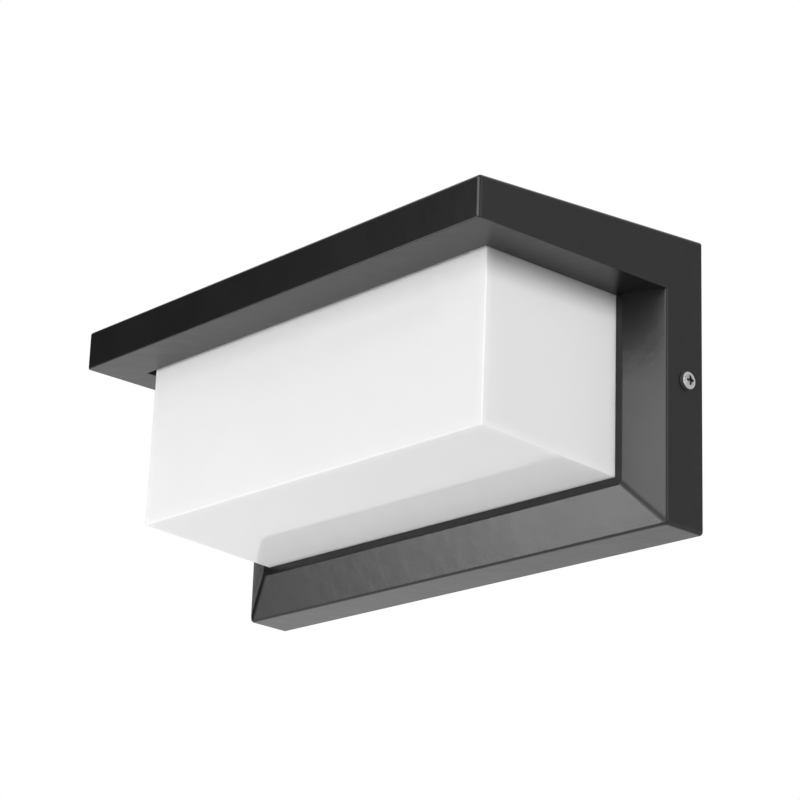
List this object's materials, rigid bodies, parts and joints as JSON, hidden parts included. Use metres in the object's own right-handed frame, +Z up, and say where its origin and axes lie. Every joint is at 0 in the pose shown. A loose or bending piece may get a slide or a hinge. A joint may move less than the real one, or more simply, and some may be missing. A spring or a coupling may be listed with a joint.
{
  "type": "outdoor wall lantern",
  "caption": "L-shaped outdoor wall lantern: a black cast housing with a flat canopy over an opal box diffuser, side-screwed to a slotted wall bracket.",
  "frame": {"origin": "centre of the bracket's two wall-screw slots, on the wall plane", "axes": "+X along the wall, to the right seen from the front; +Y into the wall; +Z up"},
  "size_m": [0.2638, 0.117, 0.12],
  "materials": {
    "black_powder_coat": "satin",
    "opal_acrylic": "gloss",
    "grey_silicone": "matte",
    "white_steel": "satin",
    "zinc_steel": "satin",
    "stainless": "satin",
    "black_nylon": "matte",
    "black_rubber": "matte",
    "board_white": "satin",
    "led_phosphor": "matte",
    "white_plastic": "matte",
    "green_board": "satin",
    "dark_ferrite": "matte",
    "blue_sleeve": "gloss",
    "brass": "satin",
    "tinned_copper": "satin",
    "red_insulation": "satin",
    "black_insulation": "satin",
    "white_insulation": "satin",
    "brown_insulation": "satin",
    "blue_insulation": "satin",
    "earth_insulation": "satin"
  },
  "bodies": {
    "bracket": {"wall_bracket": "zinc_steel", "cable_bush": "black_rubber"},
    "lamp": {"housing": "black_powder_coat", "diffuser": "opal_acrylic", "diffuser_gasket": "grey_silicone", "led_tray": "white_steel", "tray_screws": "zinc_steel", "upper_board": "board_white", "lower_board": "board_white", "upper_leds": "led_phosphor", "lower_leds": "led_phosphor", "board_screws": "zinc_steel", "upper_connector": "white_plastic", "lower_connector": "white_plastic", "link_lead": "white_insulation", "red_lead": "red_insulation", "black_lead": "black_insulation", "lead_grommet": "black_rubber", "driver_case": "white_plastic", "driver_lid": "white_plastic", "driver_board": "green_board", "driver_transformer": "dark_ferrite", "driver_capacitors": "blue_sleeve", "driver_screws": "zinc_steel", "brown_lead": "brown_insulation", "blue_lead": "blue_insulation", "terminal_block": "white_plastic", "terminal_sleeves": "brass", "terminal_screws": "zinc_steel", "block_screw": "zinc_steel", "earth_lug": "tinned_copper", "earth_washer": "zinc_steel", "earth_screw": "brass", "earth_lead": "earth_insulation"},
    "right_washer": {"right_washer": "black_nylon"},
    "right_screw": {"right_screw": "stainless"},
    "left_washer": {"left_washer": "black_nylon"},
    "left_screw": {"left_screw": "stainless"}
  },
  "joints": [
    {"name": "lamp_slide", "type": "slide", "parent": "bracket", "child": "lamp", "axis": [0, -1, 0], "range_m": [0, 0.06]},
    {"name": "right_screw_travel", "type": "slide", "parent": "lamp", "child": "right_washer", "axis": [1, 0, 0], "range_m": [0, 0.007]},
    {"name": "right_screw_turn", "type": "hinge", "parent": "right_washer", "child": "right_screw", "pos_m": [0.13, -0.0085, 0], "axis": [1, 0, 0], "range_deg": [0, 3610]},
    {"name": "left_screw_travel", "type": "slide", "parent": "lamp", "child": "left_washer", "axis": [-1, 0, 0], "range_m": [0, 0.007]},
    {"name": "left_screw_turn", "type": "hinge", "parent": "left_washer", "child": "left_screw", "pos_m": [-0.13, -0.0085, 0], "axis": [-1, 0, 0], "range_deg": [0, 3610]}
  ],
  "couplings": [
    {"joint": "right_screw_turn", "follows": "right_screw_travel", "rad_per_m": 8976},
    {"joint": "left_screw_turn", "follows": "left_screw_travel", "rad_per_m": 8976}
  ]
}
